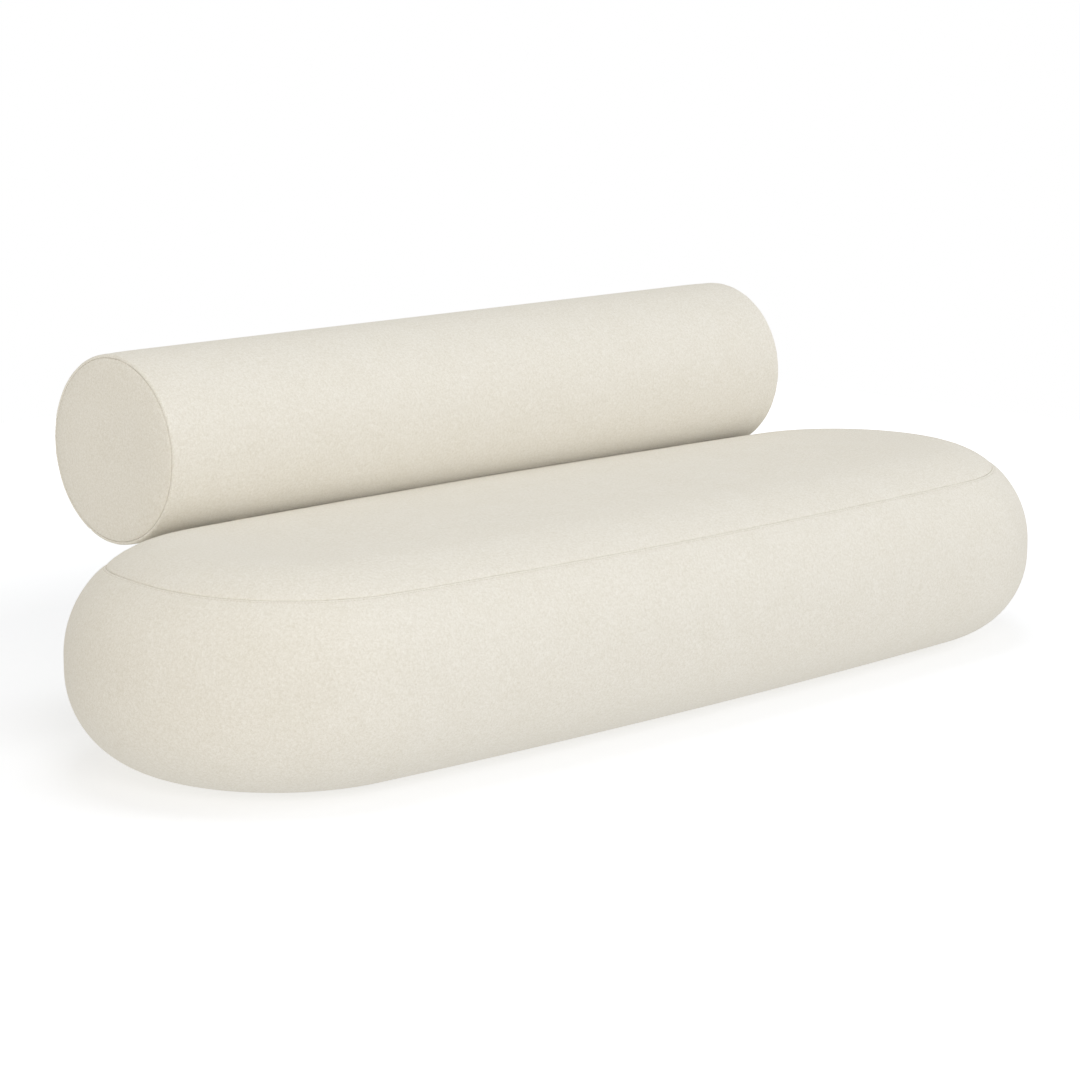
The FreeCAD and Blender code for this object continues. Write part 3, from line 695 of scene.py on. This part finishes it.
def thread():
    """Cream sewing thread, twisted."""
    material, shader = new_material("cream_thread")
    at = own_place(material)
    twist = add_node(material, "ShaderNodeTexWave", Vector=at, Scale=900.0, Distortion=1.0).outputs["Fac"]
    colour = tones(material, twist, linear(196, 188, 172), linear(226, 220, 206))
    join(material, colour, shader.inputs["Base Color"])
    join(material, relief(material, twist, 0.4, 0.0002), shader.inputs["Normal"])
    shader.inputs["Roughness"].default_value = 0.7
    return material


def foam(name, dark, light):
    """Cut polyurethane foam: fine open cells."""
    material, shader = new_material(name)
    at = own_place(material)
    cells = add_node(material, "ShaderNodeTexVoronoi", Vector=at, Scale=700.0).outputs["Distance"]
    join(material, tones(material, cells, light, dark, 0.1, 0.8), shader.inputs["Base Color"])
    join(material, relief(material, cells, 0.5, 0.0005), shader.inputs["Normal"])
    shader.inputs["Roughness"].default_value = 0.95
    return material


def wood(name, dark, light, stretch):
    """Planed wood: long grain with finer pores in it."""
    material, shader = new_material(name)
    at = own_place(material, stretch)
    bands = grain(material, at, 9, 5, 0.6)
    pores = grain(material, at, 90, 3, 0.6)
    colour = blend_colours(
        material, tones(material, bands, dark, light), tones(material, pores, dark, light, 0.2, 0.5), 0.35
    )
    join(material, colour, shader.inputs["Base Color"])
    join(material, relief(material, pores, 0.2, 0.0003), shader.inputs["Normal"])
    shader.inputs["Roughness"].default_value = 0.6
    return material


def webbing():
    """Woven elastic webbing: ribs across, fine threads along."""
    material, shader = new_material("elastic_webbing")
    at = own_place(material)
    ribs = add_node(material, "ShaderNodeTexWave", Vector=at, Scale=260.0, Distortion=0.6).outputs["Fac"]
    colour = tones(material, ribs, (0.03, 0.03, 0.035), (0.13, 0.13, 0.14))
    join(material, colour, shader.inputs["Base Color"])
    join(material, relief(material, ribs, 0.6, 0.0006), shader.inputs["Normal"])
    shader.inputs["Roughness"].default_value = 0.85
    return material


def dust_cloth():
    """Non-woven black underside cloth: pressed fibres with a grid of small weld points."""
    material, shader = new_material("dust_cloth_fibre")
    at = own_place(material)
    fibres = grain(material, at, 420, 4, 0.7)
    welds = add_node(material, "ShaderNodeTexVoronoi", Vector=at, Scale=330.0, Randomness=0.15)
    colour = blend_colours(
        material,
        tones(material, fibres, (0.02, 0.02, 0.022), (0.07, 0.07, 0.075)),
        tones(material, welds.outputs["Distance"], (0.015, 0.015, 0.016), (0.06, 0.06, 0.065), 0.1, 0.4),
        0.5,
    )
    join(material, colour, shader.inputs["Base Color"])
    join(material, relief(material, fibres, 0.4, 0.0004), shader.inputs["Normal"])
    shader.inputs["Roughness"].default_value = 0.9
    return material


def metal(name, dark, light, metallic, rough):
    """Plated or coated steel with a faint mottle."""
    material, shader = new_material(name)
    at = own_place(material)
    mottle = grain(material, at, 160, 4, 0.6)
    join(material, tones(material, mottle, dark, light), shader.inputs["Base Color"])
    peel = grain(material, at, 900, 2, 0.5)
    join(material, relief(material, peel, 0.12, 0.0002), shader.inputs["Normal"])
    shader.inputs["Metallic"].default_value = metallic
    shader.inputs["Roughness"].default_value = rough
    return material


def board_tube():
    """Wound board: paper layers with spiral edges."""
    material, shader = new_material("wound_board")
    at = own_place(material, (3, 40, 40))
    fibres = grain(material, at, 12, 4, 0.6)
    colour = tones(material, fibres, (0.4, 0.29, 0.18), (0.6, 0.46, 0.31))
    join(material, colour, shader.inputs["Base Color"])
    join(material, relief(material, fibres, 0.3, 0.0004), shader.inputs["Normal"])
    shader.inputs["Roughness"].default_value = 0.85
    return material


def put_on(piece, material):
    piece.data.materials.clear()
    piece.data.materials.append(material)


# Build the covers

cream = felt()
side_band, stitch_row = seat_side()
covers = [seat_top(), side_band, bolster_sleeve(), bolster_end(-1), bolster_end(1)]
for cover in covers:
    put_on(cover, cream)
put_on(topstitching(side_band, stitch_row), thread())
dust_sheet, staple_row = underside()
under_staples = staples(dust_sheet, staple_row)

# Finish the solids that carry over
finishes = {
    "cream_felt": cream,
    "dust_cloth": dust_cloth(),
    "firm_foam": foam("edge_foam_cells", (0.42, 0.5, 0.58), (0.66, 0.73, 0.8)),
    "seat_foam": foam("seat_foam_cells", (0.7, 0.62, 0.4), (0.88, 0.82, 0.64)),
    "soft_foam": foam("soft_foam_cells", (0.74, 0.71, 0.66), (0.9, 0.88, 0.84)),
    "webbing": webbing(),
    "plywood": wood("birch_plywood", (0.58, 0.41, 0.24), (0.76, 0.6, 0.42), (1, 8, 60)),
    "beech": wood("planed_beech", (0.5, 0.32, 0.19), (0.7, 0.51, 0.34), (1, 20, 20)),
    "post_paint": metal("post_powder_coat", (0.62, 0.58, 0.49), (0.7, 0.66, 0.57), 0.0, 0.5),
    "zinc": metal("zinc_plate", (0.5, 0.5, 0.5), (0.68, 0.68, 0.66), 1.0, 0.35),
    "glide_plastic": metal("glide_polymer", (0.03, 0.03, 0.03), (0.05, 0.05, 0.05), 0.0, 0.45),
    "core_board": board_tube(),
}
put_on(dust_sheet, finishes["dust_cloth"])
put_on(under_staples, finishes["zinc"])
for part in frame["record"]["subparts"]:
    put_on(cad_nodes[part["node"]], finishes[part["material_slot"]])

# Floor, light and camera
FLOOR_SIZE = 3.5
FLOOR_LIFT = 0.3
FLOOR_EDGE_LIFT = 0.65
FLOOR_NEAR = 1.3
FLOOR_FAR = 3.2
SOFTBOX_DISTANCE = 6.0
SOFTBOX_SIZE = 3.5
HORIZON = 0.3


def make_floor():
    """A plain white floor, lifted towards white for the camera, with the sofa's soft shadow left on it.

    It is clear from below, so that the underside can be looked at.
    """
    bm = bmesh.new()
    bmesh.ops.create_grid(bm, x_segments=1, y_segments=1, size=FLOOR_SIZE)
    mesh = bpy.data.meshes.new("floor")
    bm.to_mesh(mesh)
    bm.free()
    floor = bpy.data.objects.new("floor", mesh)
    scene.collection.objects.link(floor)
    floor.visible_diffuse = False
    material, shader = new_material("white_floor")
    shader.inputs["Base Color"].default_value = (0.87, 0.89, 0.94, 1)
    shader.inputs["Roughness"].default_value = 1.0
    shader.inputs["Specular IOR Level"].default_value = 0.0
    join(material, floor_lift(material), shader.inputs["Emission Strength"])
    shader.inputs["Emission Color"].default_value = (1, 1, 1, 1)
    above = add_node(material, "ShaderNodeMath")
    above.operation = "SUBTRACT"
    above.inputs[0].default_value = 1
    join(material, add_node(material, "ShaderNodeNewGeometry").outputs["Backfacing"], above.inputs[1])
    join(material, above.outputs[0], shader.inputs["Alpha"])
    mesh.materials.append(material)


def seen_directly(tree):
    """One for what the camera, a reflection or glass sees, nothing for the light that falls on the sofa."""
    path = tree.nodes.new("ShaderNodeLightPath")
    total = path.outputs["Is Camera Ray"]
    for name in ("Is Glossy Ray", "Is Transmission Ray"):
        either = tree.nodes.new("ShaderNodeMath")
        either.operation = "MAXIMUM"
        tree.links.new(total, either.inputs[0])
        tree.links.new(path.outputs[name], either.inputs[1])
        total = either.outputs[0]
    return total


def floor_lift(material):
    """How far the floor is lifted towards white for the camera: a little by the sofa, more at its edge."""
    away = add_node(material, "ShaderNodeVectorMath")
    away.operation = "LENGTH"
    join(material, add_node(material, "ShaderNodeTexCoord").outputs["Object"], away.inputs[0])
    lift = add_node(
        material,
        "ShaderNodeMapRange",
        Value=away.outputs["Value"],
        From_Min=FLOOR_NEAR,
        From_Max=FLOOR_FAR,
        To_Min=FLOOR_LIFT,
        To_Max=FLOOR_EDGE_LIFT,
    )
    scaled = add_node(material, "ShaderNodeMath")
    scaled.operation = "MULTIPLY"
    join(material, seen_directly(material.node_tree), scaled.inputs[0])
    join(material, lift.outputs["Result"], scaled.inputs[1])
    return scaled.outputs[0]


def make_world(above, below):
    """Even studio light from above and, as off a white floor, from below, and plain white behind."""
    world = bpy.data.worlds.new("studio")
    scene.world = world
    world.use_nodes = True
    tree = world.node_tree
    coordinates = tree.nodes.new("ShaderNodeTexCoord")
    parts = tree.nodes.new("ShaderNodeSeparateXYZ")
    tree.links.new(coordinates.outputs["Generated"], parts.inputs["Vector"])
    height = tree.nodes.new("ShaderNodeMapRange")
    height.interpolation_type = "SMOOTHSTEP"
    height.inputs["From Min"].default_value = -HORIZON
    height.inputs["From Max"].default_value = HORIZON
    tree.links.new(parts.outputs["Z"], height.inputs["Value"])
    both = tree.nodes.new("ShaderNodeMix")
    both.data_type = "RGBA"
    both.inputs[6].default_value = (*below, 1)
    both.inputs[7].default_value = (*above, 1)
    tree.links.new(height.outputs["Result"], both.inputs["Factor"])
    lit = tree.nodes["Background"]
    tree.links.new(both.outputs[2], lit.inputs["Color"])
    white = tree.nodes.new("ShaderNodeBackground")
    white.inputs["Color"].default_value = (1, 1, 1, 1)
    white.inputs["Strength"].default_value = 1.0
    either = tree.nodes.new("ShaderNodeMixShader")
    tree.links.new(seen_directly(tree), either.inputs["Fac"])
    tree.links.new(lit.outputs[0], either.inputs[1])
    tree.links.new(white.outputs[0], either.inputs[2])
    tree.links.new(either.outputs[0], tree.nodes["World Output"].inputs["Surface"])


def make_softbox(name, direction, share, colour):
    """A round softbox in a direction from the sofa, which gives a share of a white face's light."""
    lamp = bpy.data.lights.new(name, "AREA")
    lamp.shape = "DISK"
    lamp.size = SOFTBOX_SIZE
    lamp.energy = share * (math.pi * SOFTBOX_DISTANCE) ** 2
    lamp.color = colour
    box = bpy.data.objects.new(name, lamp)
    towards = Vector(direction).normalized()
    box.location = towards * SOFTBOX_DISTANCE
    box.rotation_euler = (-towards).to_track_quat("-Z", "Y").to_euler()
    box.visible_camera = False
    scene.collection.objects.link(box)


CAMERA_AZIMUTH = math.radians(-45.21)
CAMERA_ELEVATION = math.radians(10.75)
CAMERA_DISTANCE = 6.4207
CAMERA_TARGET = Vector((-0.0617, -0.0208, 0.2991))
CAMERA_LENS = 111.557
CAMERA_SENSOR = 36


def make_camera():
    back = Vector((
        math.sin(CAMERA_AZIMUTH) * math.cos(CAMERA_ELEVATION),
        -math.cos(CAMERA_AZIMUTH) * math.cos(CAMERA_ELEVATION),
        math.sin(CAMERA_ELEVATION),
    ))
    data = bpy.data.cameras.new("camera")
    data.lens = CAMERA_LENS
    data.sensor_width = CAMERA_SENSOR
    camera = bpy.data.objects.new("camera", data)
    camera.location = CAMERA_TARGET + back * CAMERA_DISTANCE
    camera.rotation_euler = (-back).to_track_quat("-Z", "Y").to_euler()
    scene.collection.objects.link(camera)
    scene.camera = camera


make_floor()
make_world((0.58, 0.567, 0.534), (0.8, 0.79, 0.757))
make_softbox("front_left", (-0.55, -0.75, 0.35), 0.21, (1.0, 0.985, 0.963))
make_softbox("front_right", (0.6, -0.7, 0.4), 0.16, (0.92, 0.945, 1.0))
make_softbox("top", (0.0, 0.0, 1.0), 0.15, (0.95, 0.98, 1.0))
make_softbox("left", (-0.95, -0.1, 0.15), 0.045, (1.0, 0.8, 0.5))
make_camera()
